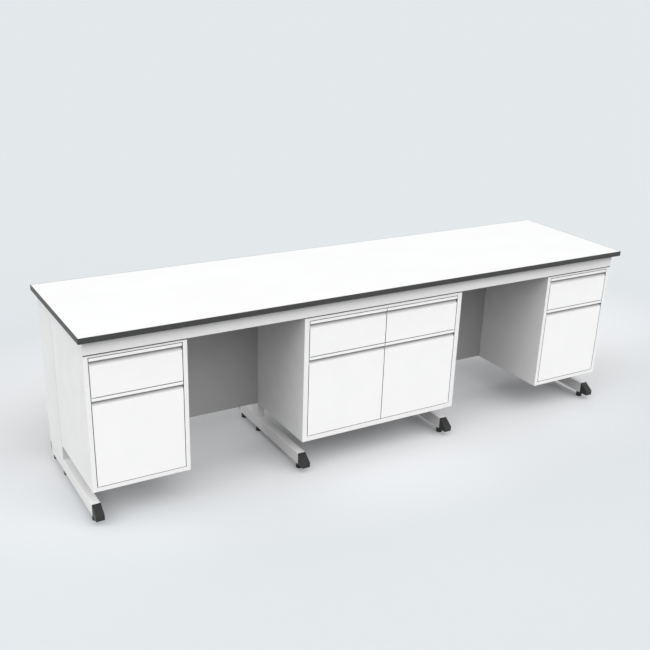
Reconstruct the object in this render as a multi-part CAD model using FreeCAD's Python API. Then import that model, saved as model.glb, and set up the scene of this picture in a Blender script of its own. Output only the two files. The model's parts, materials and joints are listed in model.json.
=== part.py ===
"""Steel-framed laboratory bench with three suspended cabinets.

X runs along the bench, Y from its front to its back and Z up from the floor, in millimetres.
The origin is on the floor under the middle of the worktop.
"""
import FreeCAD, Part
import math
import os

Vector = FreeCAD.Vector
os.makedirs("parts", exist_ok=True)

# Overall size
BENCH_LENGTH = 3000.0
BENCH_DEPTH = 750.0
BENCH_HEIGHT = 900.0

# Worktop: dark core, white laminate let in between charcoal edge bands
WORKTOP_THICKNESS = 25.0
LAMINATE_THICKNESS = 1.0
BAND_THICKNESS = 3.0

# Steel tubes
TUBE_WIDTH = 40.0
TUBE_HEIGHT = 60.0
LONG_TUBE_WIDTH = 30.0
TUBE_WALL = 2.0
TUBE_CORNER = 1.5
END_OVERHANG = 25.0
FASCIA_SETBACK = 35.0
FASCIA_HEIGHT = 65.0
FASCIA_SHEET = 1.5
SERVICE_DEPTH = 223.0
POST_DEPTH = 60.0

# Foot rails, their caps and levelling feet
RAIL_CLEAR_OF_FLOOR = 30.0
TOE_SETBACK = 27.0
TOE_LENGTH = 53.0
TOE_NOSE_HEIGHT = 26.0
TOE_CROWN = 3.0
REAR_CAP_LENGTH = 12.0
REAR_CAP_CHAMFER = 25.0
CAP_PLUG_LENGTH = 15.0
CAP_PLUG_HEIGHT = 28.0
FOOT_RADIUS = 15.0
FOOT_FLANGE_RADIUS = 16.0
FOOT_FLANGE_HEIGHT = 6.0
FOOT_CHAMFER = 3.0
FOOT_STUD_RADIUS = 6.0
FOOT_STUD_LENGTH = 25.0
FOOT_BUSH_RADIUS = 11.0
FOOT_BUSH_LENGTH = 18.0
FRONT_FOOT_INSET = 21.0
REAR_FOOT_INSET = 25.0
MIDDLE_FOOT_INSET = 20.0

# Sheet panels behind the knee spaces and at the ends of the service void
PANEL_SHEET = 2.0
PANEL_BOTTOM = 172.0
COVER_SHEET = 1.5
COVER_FLANGE = 30.0

# Cabinets
CABINET_BOTTOM = 170.0
SIDE_CABINET_WIDTH = 450.0
CENTRE_CABINET_WIDTH = 900.0
SIDE_BOARD = 20.0
CENTRE_BOARD = 25.0
BACK_BOARD = 8.0
PARTITION_BOARD = 20.0
PARTITION_SETBACK = 2.0
SHELF_BOARD = 18.0
SHELF_SETBACK = 60.0
SHELF_HEIGHT = 210.0
SHELF_END_GAP = 1.0
SHELF_PIN_RADIUS = 2.5
SHELF_PIN_REACH = 8.0
SHELF_PIN_INSET = 40.0

# Drawer and door fronts with a finger pull along the top edge
FRONT_THICKNESS = 18.0
FRONT_GAP = 3.0
DRAWER_FRONT_HEIGHT = 177.0
LIP_HEIGHT = 14.0
LIP_UNDERCUT = 4.0
GROOVE_DEPTH = 10.0
GROOVE_STRAIGHT = 5.0
GROOVE_COVE_RADIUS = 12.0
GROOVE_SLOPE = math.radians(33)

# Drawer boxes and runners
DRAWER_SHEET = 1.2
DRAWER_LENGTH = 420.0
DRAWER_BOX_HEIGHT = 110.0
DRAWER_BOX_LIFT = 22.0
RUNNER_SPACE = 13.0
RUNNER_LENGTH = 400.0
RUNNER_HEIGHT = 40.0
RUNNER_SHEET = 1.5
RUNNER_LIFT = 12.0
RUNNER_CLEARANCE = 0.4

# Door pivots
PIVOT_EDGE_INSET = 8.0
PIVOT_FACE_INSET = 5.0
PIVOT_PIN_RADIUS = 3.0
PIVOT_PIN_LENGTH = 8.0
PIVOT_BORE_SPARE = 1.0
PIVOT_RUNNING_CLEARANCE = 0.05
PIVOT_TONGUE_SIDE = 6.0
PIVOT_TONGUE_FRONT = 3.5
PIVOT_PLATE_DEPTH = 50.0
PIVOT_FLANGE_START = 22.0
PIVOT_FLANGE_SHEET = 2.0
PIVOT_FLANGE_HEIGHT = 22.0

# Magnetic catches that stop the doors
CATCH_WIDTH = 12.0
CATCH_DEPTH = 14.0
CATCH_HEIGHT = 40.0
CATCH_DROP = 40.0

# Screws
HANGER_RADIUS = 3.0
HANGER_HEAD_RADIUS = 6.0
HANGER_HEAD_HEIGHT = 4.0
HANGER_REACH = 10.0
HANGER_END_INSET = 75.0
HANGER_MIDDLE_OFFSET = 120.0
WORKTOP_SCREW_RADIUS = 2.5
WORKTOP_SCREW_HEAD_RADIUS = 5.5
WORKTOP_SCREW_HEAD_HEIGHT = 3.0
WORKTOP_SCREW_BITE = 15.0
WORKTOP_SCREW_INSET = 150.0
WORKTOP_SCREW_TIP_SPARE = 1.0
SHEET_SCREW_RADIUS = 2.0
SHEET_SCREW_HEAD_RADIUS = 4.0
SHEET_SCREW_HEAD_HEIGHT = 2.5
SHEET_SCREW_BITE = 6.0
SHEET_SCREW_INSET = 70.0

# Clearances
SEAT = 0.3
BACK_PANEL_CLEARANCE = 0.5
FASCIA_CLEARANCE = 3.5
THREAD_CLEARANCE = 0.1
SCREW_CLEARANCE = 0.2
PIN_CLEARANCE = 0.05

# Planes that several pieces share
half_length = BENCH_LENGTH / 2
half_depth = BENCH_DEPTH / 2
frame_end = half_length - END_OVERHANG
worktop_under = BENCH_HEIGHT - WORKTOP_THICKNESS
arm_under = worktop_under - TUBE_HEIGHT
rail_under = RAIL_CLEAR_OF_FLOOR
rail_top = rail_under + TUBE_HEIGHT
rail_front = -half_depth + TOE_SETBACK + TOE_LENGTH
rail_rear = half_depth - REAR_CAP_LENGTH
fascia_front = -half_depth + FASCIA_SETBACK
fascia_back = fascia_front + FASCIA_SHEET
front_rail_back = fascia_back + LONG_TUBE_WIDTH
rear_rail_front = half_depth - LONG_TUBE_WIDTH
post_front = half_depth - SERVICE_DEPTH
post_back = post_front + POST_DEPTH
panel_front = post_front - PANEL_SHEET
cabinet_front = fascia_back + FASCIA_CLEARANCE
cabinet_back = panel_front - BACK_PANEL_CLEARANCE
board_back = cabinet_back - BACK_BOARD
front_back = cabinet_front + FRONT_THICKNESS
support_back = cabinet_back
support_front = support_back - LONG_TUBE_WIDTH
end_frame_x = frame_end - TUBE_WIDTH / 2
inner_frame_x = CENTRE_CABINET_WIDTH / 2 - TUBE_WIDTH / 2
side_cabinet_inner = frame_end - SIDE_CABINET_WIDTH
front_rail_middle = (fascia_back + front_rail_back) / 2
support_middle = (support_front + support_back) / 2
rear_rail_middle = (rear_rail_front + half_depth) / 2


def block(xa, xb, ya, yb, za, zb):
    """Box between two opposite corners, given in any order."""
    low = Vector(min(xa, xb), min(ya, yb), min(za, zb))
    return Part.makeBox(abs(xb - xa), abs(yb - ya), abs(zb - za), low)


def rod(radius, x, y, z, length, direction):
    """Cylinder from a point along a direction."""
    return Part.makeCylinder(radius, length, Vector(x, y, z), Vector(*direction))


def fused(solids):
    """One solid from pieces that are formed or welded together."""
    shape = solids[0]
    for solid in solids[1:]:
        shape = shape.fuse(solid)
    return shape.removeSplitter()


def rounded_tube(box_limits, axis, closed):
    """Rectangular tube along an axis, with rounded long edges; closed adds end plates."""
    xa, xb, ya, yb, za, zb = box_limits
    outer = block(xa, xb, ya, yb, za, zb)
    along = Vector(*[1.0 if name == axis else 0.0 for name in "xyz"])
    long_edges = []
    for edge in outer.Edges:
        run = edge.Vertexes[1].Point - edge.Vertexes[0].Point
        if abs(run.normalize().dot(along)) > 0.99:
            long_edges.append(edge)
    outer = outer.makeFillet(TUBE_CORNER, long_edges)
    end_inset = TUBE_WALL if closed else 0.0
    inset = {name: end_inset if name == axis else TUBE_WALL for name in "xyz"}
    inner = block(xa + inset["x"], xb - inset["x"], ya + inset["y"], yb - inset["y"],
                  za + inset["z"], zb - inset["z"])
    return outer.cut(inner)


def export(name, solids):
    """Write one sub-part as a STEP file holding its separate solids."""
    for solid in solids:
        if not solid.isValid() or len(solid.Solids) != 1:
            raise ValueError("bad solid in " + name)
    shape = solids[0] if len(solids) == 1 else Part.makeCompound(solids)
    shape.exportStep("parts/" + name + ".step")


# ---------------------------------------------------------------- worktop
long_rail_screws = [(x, front_rail_middle) for x in (
    -side_cabinet_inner + WORKTOP_SCREW_INSET, -CENTRE_CABINET_WIDTH / 2 - WORKTOP_SCREW_INSET,
    CENTRE_CABINET_WIDTH / 2 + WORKTOP_SCREW_INSET, side_cabinet_inner - WORKTOP_SCREW_INSET)]
rear_screw_pitch = (end_frame_x - WORKTOP_SCREW_INSET) / 2
for step in range(-2, 3):
    long_rail_screws.append((step * rear_screw_pitch, rear_rail_middle))
knee_middle = (CENTRE_CABINET_WIDTH / 2 + side_cabinet_inner) / 2
support_screws = [(-knee_middle, support_middle), (knee_middle, support_middle)]
worktop_screws = long_rail_screws + support_screws

core = block(-half_length + BAND_THICKNESS, half_length - BAND_THICKNESS,
             -half_depth + BAND_THICKNESS, half_depth - BAND_THICKNESS,
             worktop_under, BENCH_HEIGHT - LAMINATE_THICKNESS)
for x, y in worktop_screws:
    core = core.cut(rod(WORKTOP_SCREW_RADIUS + PIN_CLEARANCE, x, y, worktop_under,
                        WORKTOP_SCREW_BITE + WORKTOP_SCREW_TIP_SPARE, (0, 0, 1)))
export("worktop_core", [core])
export("worktop_surface", [block(-half_length + BAND_THICKNESS, half_length - BAND_THICKNESS,
                                 -half_depth + BAND_THICKNESS, half_depth - BAND_THICKNESS,
                                 BENCH_HEIGHT - LAMINATE_THICKNESS, BENCH_HEIGHT)])
bands = []
for sign in (-1, 1):
    bands.append(block(-half_length, half_length, sign * half_depth,
                       sign * (half_depth - BAND_THICKNESS), worktop_under, BENCH_HEIGHT))
    bands.append(block(sign * half_length, sign * (half_length - BAND_THICKNESS),
                       -half_depth + BAND_THICKNESS, half_depth - BAND_THICKNESS,
                       worktop_under, BENCH_HEIGHT))
export("edge_band", bands)


# ---------------------------------------------------------------- steel frame
foot_places = {
    "front": rail_front + FRONT_FOOT_INSET,
    "middle": post_front + MIDDLE_FOOT_INSET,
    "rear": half_depth - REAR_FOOT_INSET,
}
frame_places = {
    "end_frame_left": -end_frame_x,
    "inner_frame_left": -inner_frame_x,
    "inner_frame_right": inner_frame_x,
    "end_frame_right": end_frame_x,
}
cover_screw_heights = (rail_top + SHEET_SCREW_INSET, (rail_top + arm_under) / 2,
                       arm_under - SHEET_SCREW_INSET)


def foot_rail(x):
    """Foot rail open at both ends, with a threaded bush over each levelling foot."""
    rail = rounded_tube((x - TUBE_WIDTH / 2, x + TUBE_WIDTH / 2, rail_front, rail_rear,
                         rail_under, rail_top), "y", False)
    for y in foot_places.values():
        bush = rod(FOOT_BUSH_RADIUS, x, y, rail_under + TUBE_WALL, FOOT_BUSH_LENGTH, (0, 0, 1))
        rail = rail.fuse(bush)
        rail = rail.cut(rod(FOOT_STUD_RADIUS + THREAD_CLEARANCE, x, y, rail_under,
                            TUBE_WALL + FOOT_BUSH_LENGTH, (0, 0, 1)))
    return rail


def post(x, carries_cover):
    """Upright from the foot rail to the arm; an end post takes the cover's screws."""
    upright = rounded_tube((x - TUBE_WIDTH / 2, x + TUBE_WIDTH / 2, post_front, post_back,
                            rail_top, arm_under), "z", True)
    if carries_cover:
        for z in cover_screw_heights:
            upright = upright.cut(rod(SHEET_SCREW_RADIUS + PIN_CLEARANCE, x, post_back, z,
                                      TUBE_WALL, (0, -1, 0)))
    return upright


def arm(x):
    """Top arm between the front and rear rails."""
    return rounded_tube((x - TUBE_WIDTH / 2, x + TUBE_WIDTH / 2, front_rail_back,
                         rear_rail_front, arm_under, worktop_under), "y", True)


for name, x in frame_places.items():
    export(name, [foot_rail(x), post(x, name.startswith("end")), arm(x)])


def hanger_places(x_low, x_high):
    """X of the screws that hang a cabinet: near both ends, and inboard too if it is wide."""
    places = [x_low + HANGER_END_INSET, x_high - HANGER_END_INSET]
    if x_high - x_low > 4 * HANGER_MIDDLE_OFFSET + 2 * HANGER_END_INSET:
        middle = (x_low + x_high) / 2
        places += [middle - HANGER_MIDDLE_OFFSET, middle + HANGER_MIDDLE_OFFSET]
    return places


cabinet_spans = {
    "left": (-frame_end, -side_cabinet_inner, SIDE_BOARD),
    "centre": (-CENTRE_CABINET_WIDTH / 2, CENTRE_CABINET_WIDTH / 2, CENTRE_BOARD),
    "right": (side_cabinet_inner, frame_end, SIDE_BOARD),
}
front_hangers = []
support_hangers = []
for x_low, x_high, board in cabinet_spans.values():
    for x in hanger_places(x_low, x_high):
        front_hangers.append((x, front_rail_middle))
        support_hangers.append((x, support_middle))


def drilled_rail(x_low, x_high, y_low, y_high, hangers, through_screws):
    """Closed long tube with holes for the cabinet hangers and the worktop screws."""
    rail = rounded_tube((x_low, x_high, y_low, y_high, arm_under, worktop_under), "x", True)
    for x, y in hangers:
        if x_low < x < x_high:
            rail = rail.cut(rod(HANGER_RADIUS + THREAD_CLEARANCE, x, y, arm_under,
                                TUBE_WALL, (0, 0, 1)))
    for x, y in through_screws:
        if x_low < x < x_high and y_low < y < y_high:
            rail = rail.cut(rod(WORKTOP_SCREW_RADIUS + SCREW_CLEARANCE, x, y, arm_under,
                                TUBE_HEIGHT, (0, 0, 1)))
    return rail


export("long_rails", [
    drilled_rail(-frame_end, frame_end, fascia_back, front_rail_back,
                 front_hangers, long_rail_screws),
    drilled_rail(-frame_end, frame_end, rear_rail_front, half_depth, [], long_rail_screws)])

support_ends = [-end_frame_x, -inner_frame_x, inner_frame_x, end_frame_x]
support_rails = []
for start, stop in zip(support_ends[:-1], support_ends[1:]):
    support_rails.append(drilled_rail(start + TUBE_WIDTH / 2, stop - TUBE_WIDTH / 2,
                                      support_front, support_back,
                                      support_hangers, support_screws))
export("support_rails", support_rails)

export("front_fascia", [block(-frame_end, frame_end, fascia_front, fascia_back,
                              worktop_under - FASCIA_HEIGHT, worktop_under)])


# ---------------------------------------------------------------- caps and levelling feet
def cap_plug(x, y_start, y_stop):
    """Block that grips the upper part of the tube's bore, above the foot's stud."""
    inner_top = rail_top - TUBE_WALL - SEAT
    side = TUBE_WIDTH / 2 - TUBE_WALL - SEAT
    return block(x - side, x + side, y_start, y_stop, inner_top - CAP_PLUG_HEIGHT, inner_top)


def toe_cap(x):
    """Wedge that slopes from the rail's top down to a blunt toe."""
    toe = rail_front - TOE_LENGTH
    outline = [(rail_front, rail_under), (rail_front, rail_top), (rail_front - TOE_CROWN, rail_top),
               (toe, rail_under + TOE_NOSE_HEIGHT), (toe, rail_under)]
    left = x - TUBE_WIDTH / 2
    corners = [Vector(left, y, z) for y, z in outline + outline[:1]]
    wedge = Part.Face(Part.makePolygon(corners)).extrude(Vector(TUBE_WIDTH, 0, 0))
    return fused([wedge, cap_plug(x, rail_front, rail_front + CAP_PLUG_LENGTH)])


def rear_cap(x):
    """End cap with its lower edge cut back above the rear foot."""
    outline = [(rail_rear, rail_under), (rail_rear, rail_top), (half_depth, rail_top),
               (half_depth, rail_under + REAR_CAP_CHAMFER)]
    left = x - TUBE_WIDTH / 2
    corners = [Vector(left, y, z) for y, z in outline + outline[:1]]
    body = Part.Face(Part.makePolygon(corners)).extrude(Vector(TUBE_WIDTH, 0, 0))
    return fused([body, cap_plug(x, rail_rear - CAP_PLUG_LENGTH, rail_rear)])


def levelling_foot(x, y):
    """Turned foot: flange on the floor, body with a chamfered shoulder, and a stud."""
    shoulder = rail_under - SEAT
    outline = [(0, 0), (FOOT_FLANGE_RADIUS, 0), (FOOT_FLANGE_RADIUS, FOOT_FLANGE_HEIGHT),
               (FOOT_RADIUS, FOOT_FLANGE_HEIGHT), (FOOT_RADIUS, shoulder - FOOT_CHAMFER),
               (FOOT_RADIUS - FOOT_CHAMFER, shoulder), (FOOT_STUD_RADIUS, shoulder),
               (FOOT_STUD_RADIUS, rail_under + FOOT_STUD_LENGTH),
               (0, rail_under + FOOT_STUD_LENGTH)]
    corners = [Vector(x + radius, y, z) for radius, z in outline + outline[:1]]
    half_section = Part.Face(Part.makePolygon(corners))
    return half_section.revolve(Vector(x, y, 0), Vector(0, 0, 1), 360)


export("toe_caps", [toe_cap(x) for x in frame_places.values()])
export("rail_rear_caps", [rear_cap(x) for x in frame_places.values()])
for frame_name, x in frame_places.items():
    for place, y in foot_places.items():
        export("foot_" + frame_name + "_" + place, [levelling_foot(x, y)])


# ---------------------------------------------------------------- sheet panels
panel_screw_columns = (side_cabinet_inner + SHEET_SCREW_INSET / 2, frame_end - SHEET_SCREW_INSET)
panel_screw_heights = (PANEL_BOTTOM + SHEET_SCREW_INSET, arm_under - SHEET_SCREW_INSET)
panel_screws = [(sign * x, z) for sign in (-1, 1) for x in panel_screw_columns
                for z in panel_screw_heights]


def back_panel(sign):
    """Sheet across one outer bay, from the end post to the inner post."""
    sheet = block(sign * frame_end, sign * (inner_frame_x - TUBE_WIDTH / 2),
                  panel_front, post_front, PANEL_BOTTOM, arm_under)
    for x, z in panel_screws:
        if x * sign > 0:
            sheet = sheet.cut(rod(SHEET_SCREW_RADIUS + SCREW_CLEARANCE, x, post_front, z,
                                  PANEL_SHEET, (0, -1, 0)))
    return sheet


def service_cover(sign):
    """Folded sheet that closes the end of the service void behind a post."""
    outer = sign * frame_end
    low = rail_top + SEAT
    high = arm_under - SEAT
    flange_end = outer - sign * COVER_FLANGE
    side = block(outer, outer - sign * COVER_SHEET, post_back, half_depth, low, high)
    post_flange = block(outer, flange_end, post_back, post_back + COVER_SHEET, low, high)
    rear_flange = block(outer, flange_end, half_depth - COVER_SHEET, half_depth, low, high)
    cover = fused([side, post_flange, rear_flange])
    for z in cover_screw_heights:
        cover = cover.cut(rod(SHEET_SCREW_RADIUS + SCREW_CLEARANCE, sign * end_frame_x,
                              post_back + COVER_SHEET, z, COVER_SHEET, (0, -1, 0)))
    return cover


export("back_panels", [back_panel(-1), back_panel(1)])
export("service_covers", [service_cover(-1), service_cover(1)])


# ---------------------------------------------------------------- cabinets
pin_rows = (cabinet_front + SHELF_SETBACK + SHELF_PIN_INSET, board_back - SHELF_PIN_INSET)
pin_height = CABINET_BOTTOM + SHELF_HEIGHT - SHELF_PIN_RADIUS - PIN_CLEARANCE


def with_pin_holes(board, face_x, direction):
    """Blind holes for the shelf pins in a board's face; direction points into the board."""
    for y in pin_rows:
        board = board.cut(rod(SHELF_PIN_RADIUS + PIN_CLEARANCE, face_x, y, pin_height,
                              SHELF_PIN_REACH, (direction, 0, 0)))
    return board


def shelf_pins(face_x, direction):
    """Pins half in the board and half under the shelf."""
    return [rod(SHELF_PIN_RADIUS, face_x + direction * (SHELF_PIN_REACH - PIN_CLEARANCE), y,
                pin_height, 2 * SHELF_PIN_REACH - PIN_CLEARANCE, (-direction, 0, 0))
            for y in pin_rows]


def shelf(x_low, x_high):
    """Loose shelf between two boards."""
    z_low = CABINET_BOTTOM + SHELF_HEIGHT
    return block(x_low + SHELF_END_GAP, x_high - SHELF_END_GAP, cabinet_front + SHELF_SETBACK,
                 board_back - SHELF_END_GAP, z_low, z_low + SHELF_BOARD)


def countersunk_hole(x, y, board_low, board):
    """Clearance hole through the top board, countersunk from below."""
    hole = rod(HANGER_RADIUS + SCREW_CLEARANCE, x, y, board_low, board, (0, 0, 1))
    sink = Part.makeCone(HANGER_HEAD_RADIUS + SCREW_CLEARANCE, HANGER_RADIUS + SCREW_CLEARANCE,
                         HANGER_HEAD_HEIGHT, Vector(x, y, board_low))
    return hole.fuse(sink)


all_pins = []
for name, (x_low, x_high, board) in cabinet_spans.items():
    floor = CABINET_BOTTOM + board
    ceiling = arm_under - board
    left_side = block(x_low, x_low + board, cabinet_front, cabinet_back,
                      CABINET_BOTTOM, arm_under)
    right_side = block(x_high - board, x_high, cabinet_front, cabinet_back,
                       CABINET_BOTTOM, arm_under)
    left_side = with_pin_holes(left_side, x_low + board, -1)
    right_side = with_pin_holes(right_side, x_high - board, 1)
    all_pins += shelf_pins(x_low + board, -1) + shelf_pins(x_high - board, 1)
    bottom = block(x_low + board, x_high - board, cabinet_front, board_back,
                   CABINET_BOTTOM, floor)
    top = block(x_low + board, x_high - board, cabinet_front, board_back, ceiling, arm_under)
    back = block(x_low + board, x_high - board, board_back, cabinet_back,
                 CABINET_BOTTOM, arm_under)
    for x in hanger_places(x_low, x_high):
        for y in (front_rail_middle, support_middle):
            top = top.cut(countersunk_hole(x, y, ceiling, board))
    for x, z in panel_screws:
        if x_low < x < x_high:
            back = back.cut(rod(SHEET_SCREW_RADIUS + PIN_CLEARANCE, x, cabinet_back, z,
                                SHEET_SCREW_BITE, (0, -1, 0)))
    export(name + "_cabinet_sides", [left_side, right_side])
    export(name + "_cabinet_bottom", [bottom])
    export(name + "_cabinet_top", [top])
    export(name + "_cabinet_back", [back])
    if name == "centre":
        half_partition = PARTITION_BOARD / 2
        partition = block(-half_partition, half_partition, front_back + PARTITION_SETBACK,
                          board_back, floor, ceiling)
        partition = with_pin_holes(partition, -half_partition, 1)
        partition = with_pin_holes(partition, half_partition, -1)
        all_pins += shelf_pins(-half_partition, 1) + shelf_pins(half_partition, -1)
        export("centre_cabinet_partition", [partition])
        export("centre_cabinet_shelves", [shelf(x_low + board, -half_partition),
                                          shelf(half_partition, x_high - board)])
    else:
        export(name + "_cabinet_shelf", [shelf(x_low + board, x_high - board)])
export("shelf_pins", all_pins)


# ---------------------------------------------------------------- fronts, drawers and doors
def front_panel(x_low, x_high, z_low, z_high):
    """Front board with a finger groove under a lip along its top edge.

    The back of the groove runs down straight, curves forward and slopes out to the face.
    """
    face = cabinet_front
    lip_under = z_high - LIP_HEIGHT
    deep = face + GROOVE_DEPTH
    cove_top = lip_under - GROOVE_STRAIGHT

    def at(y, z):
        return Vector(x_low, y, z)

    def on_cove(turn):
        return at(deep - GROOVE_COVE_RADIUS * (1 - math.cos(turn)),
                  cove_top - GROOVE_COVE_RADIUS * math.sin(turn))

    cove_end = on_cove(GROOVE_SLOPE)
    slope_end = at(face, cove_end.z - (cove_end.y - face) / math.tan(GROOVE_SLOPE))
    straight = Part.makePolygon([cove_end, slope_end, at(face, z_low), at(front_back, z_low),
                                 at(front_back, z_high), at(face, z_high), at(face, lip_under),
                                 at(deep, lip_under + LIP_UNDERCUT), at(deep, cove_top)])
    cove = Part.Arc(at(deep, cove_top), on_cove(GROOVE_SLOPE / 2), cove_end).toShape()
    section = Part.Face(Part.Wire(straight.Edges + [cove]))
    return section.extrude(Vector(x_high - x_low, 0, 0))


def drawer_box(x_low, x_high, z_low):
    """Folded steel tray, open at the top, fixed to the back of its front."""
    outer = block(x_low, x_high, front_back, front_back + DRAWER_LENGTH,
                  z_low, z_low + DRAWER_BOX_HEIGHT)
    inner = block(x_low + DRAWER_SHEET, x_high - DRAWER_SHEET, front_back + DRAWER_SHEET,
                  front_back + DRAWER_LENGTH - DRAWER_SHEET,
                  z_low + DRAWER_SHEET, z_low + DRAWER_BOX_HEIGHT)
    return outer.cut(inner)


def runner(wall_x, drawer_x, z_low, outer_member):
    """Channel: the outer member opens from the wall, the inner one rides between its flanges."""
    direction = 1 if drawer_x > wall_x else -1
    clear = 0.0 if outer_member else RUNNER_SHEET + RUNNER_CLEARANCE
    low = z_low + clear
    high = z_low + RUNNER_HEIGHT - clear
    start = front_back + SEAT
    stop = start + RUNNER_LENGTH
    if outer_member:
        web = wall_x
        tip = drawer_x - direction * (RUNNER_SHEET + RUNNER_CLEARANCE)
        thickness = direction * RUNNER_SHEET
    else:
        web = drawer_x
        tip = wall_x + direction * (RUNNER_SHEET + RUNNER_CLEARANCE)
        thickness = -direction * RUNNER_SHEET
    return fused([block(web, web + thickness, start, stop, low, high),
                  block(web, tip, start, stop, low, low + RUNNER_SHEET),
                  block(web, tip, start, stop, high - RUNNER_SHEET, high)])


def pivot_axis(x_low, x_high, hinge_side):
    """X of the door's pivot, inset from the hinged edge of its front."""
    edge = x_low if hinge_side < 0 else x_high
    return edge - hinge_side * PIVOT_EDGE_INSET


def door(x_low, x_high, z_low, z_high, hinge_side):
    """Door with a blind pivot bore in its lip and one in its lower edge."""
    panel = front_panel(x_low, x_high, z_low, z_high)
    x = pivot_axis(x_low, x_high, hinge_side)
    y = cabinet_front + PIVOT_FACE_INSET
    radius = PIVOT_PIN_RADIUS + PIVOT_RUNNING_CLEARANCE
    depth = PIVOT_PIN_LENGTH + PIVOT_BORE_SPARE
    panel = panel.cut(rod(radius, x, y, z_high, depth, (0, 0, -1)))
    return panel.cut(rod(radius, x, y, z_low, depth, (0, 0, 1)))


def pivot_plate(wall_x, axis_x, hinge_side, z_low, z_high):
    """Flat tongue from the cabinet's side to just past the pivot."""
    return block(wall_x, axis_x - hinge_side * PIVOT_TONGUE_SIDE,
                 cabinet_front + PIVOT_FACE_INSET - PIVOT_TONGUE_FRONT,
                 cabinet_front + PIVOT_PLATE_DEPTH, z_low, z_high)


def top_pivot(wall_x, axis_x, hinge_side, door_top):
    """Bracket in the gap over the door, with its pin down into the lip."""
    y = cabinet_front + PIVOT_FACE_INSET
    z_low = door_top + SEAT
    z_high = door_top + FRONT_GAP - SEAT
    flange = block(wall_x, wall_x - hinge_side * PIVOT_FLANGE_SHEET,
                   cabinet_front + PIVOT_FLANGE_START, cabinet_front + PIVOT_PLATE_DEPTH,
                   z_low - PIVOT_FLANGE_HEIGHT, z_low)
    pin = rod(PIVOT_PIN_RADIUS, axis_x, y, z_low, PIVOT_PIN_LENGTH, (0, 0, -1))
    return fused([pivot_plate(wall_x, axis_x, hinge_side, z_low, z_high), flange, pin])


def bottom_pivot(wall_x, axis_x, hinge_side, floor, door_bottom):
    """Plate on the cabinet's bottom board, with its pin up into the door."""
    y = cabinet_front + PIVOT_FACE_INSET
    z_high = door_bottom - SEAT
    pin = rod(PIVOT_PIN_RADIUS, axis_x, y, z_high, PIVOT_PIN_LENGTH, (0, 0, 1))
    return fused([pivot_plate(wall_x, axis_x, hinge_side, floor, z_high), pin])


def catch(wall_x, hinge_side, door_top):
    """Magnetic catch on the wall that the door's free edge closes beside."""
    z_high = door_top - CATCH_DROP
    return block(wall_x, wall_x + hinge_side * CATCH_WIDTH, front_back + SEAT,
                 front_back + SEAT + CATCH_DEPTH, z_high - CATCH_HEIGHT, z_high)


left_wall = frame_end - SIDE_BOARD
right_wall = side_cabinet_inner + SIDE_BOARD
centre_wall = CENTRE_CABINET_WIDTH / 2 - CENTRE_BOARD
partition_wall = PARTITION_BOARD / 2
bays = {
    "left": (-left_wall, -right_wall, -left_wall + FRONT_GAP, -right_wall - FRONT_GAP, -1,
             SIDE_BOARD),
    "centre_left": (-centre_wall, -partition_wall, -centre_wall + FRONT_GAP, -FRONT_GAP / 2, -1,
                    CENTRE_BOARD),
    "centre_right": (partition_wall, centre_wall, FRONT_GAP / 2, centre_wall - FRONT_GAP, 1,
                     CENTRE_BOARD),
    "right": (right_wall, left_wall, right_wall + FRONT_GAP, left_wall - FRONT_GAP, 1,
              SIDE_BOARD),
}
runners = []
pivots = []
for name, (wall_low, wall_high, x_low, x_high, hinge_side, board) in bays.items():
    floor = CABINET_BOTTOM + board
    drawer_top = arm_under - board - FRONT_GAP
    drawer_bottom = drawer_top - DRAWER_FRONT_HEIGHT
    door_top = drawer_bottom - FRONT_GAP
    door_bottom = floor + FRONT_GAP
    box_low = drawer_bottom + DRAWER_BOX_LIFT
    runner_low = box_low + RUNNER_LIFT
    tray_low = wall_low + RUNNER_SPACE
    tray_high = wall_high - RUNNER_SPACE
    hinge_wall, free_wall = (wall_low, wall_high) if hinge_side < 0 else (wall_high, wall_low)
    axis_x = pivot_axis(x_low, x_high, hinge_side)

    export("drawer_" + name + "_front", [front_panel(x_low, x_high, drawer_bottom, drawer_top)])
    export("drawer_" + name + "_box", [drawer_box(tray_low, tray_high, box_low),
                                       runner(wall_low, tray_low, runner_low, False),
                                       runner(wall_high, tray_high, runner_low, False)])
    export("door_" + name, [door(x_low, x_high, door_bottom, door_top, hinge_side)])
    runners.append(runner(wall_low, tray_low, runner_low, True))
    runners.append(runner(wall_high, tray_high, runner_low, True))
    pivots.append(top_pivot(hinge_wall, axis_x, hinge_side, door_top))
    pivots.append(bottom_pivot(hinge_wall, axis_x, hinge_side, floor, door_bottom))
    pivots.append(catch(free_wall, hinge_side, door_top))
export("drawer_runners", runners)
export("door_pivots_and_catches", pivots)


# ---------------------------------------------------------------- screws
def hanger(x, y, board_low):
    """Countersunk screw up through a cabinet's top board into a rail."""
    head = Part.makeCone(HANGER_HEAD_RADIUS, HANGER_RADIUS, HANGER_HEAD_HEIGHT,
                         Vector(x, y, board_low))
    shank = rod(HANGER_RADIUS, x, y, board_low, arm_under + HANGER_REACH - board_low, (0, 0, 1))
    return fused([head, shank])


def worktop_screw(x, y):
    """Long screw up through a rail into the worktop, its head under the rail."""
    head = rod(WORKTOP_SCREW_HEAD_RADIUS, x, y, arm_under - WORKTOP_SCREW_HEAD_HEIGHT,
               WORKTOP_SCREW_HEAD_HEIGHT, (0, 0, 1))
    shank = rod(WORKTOP_SCREW_RADIUS, x, y, arm_under, TUBE_HEIGHT + WORKTOP_SCREW_BITE,
                (0, 0, 1))
    return fused([head, shank])


def sheet_screw(x, y, z, reach):
    """Pan-head screw driven from behind through sheet."""
    head = rod(SHEET_SCREW_HEAD_RADIUS, x, y, z, SHEET_SCREW_HEAD_HEIGHT, (0, 1, 0))
    shank = rod(SHEET_SCREW_RADIUS, x, y, z, reach, (0, -1, 0))
    return fused([head, shank])


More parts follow.
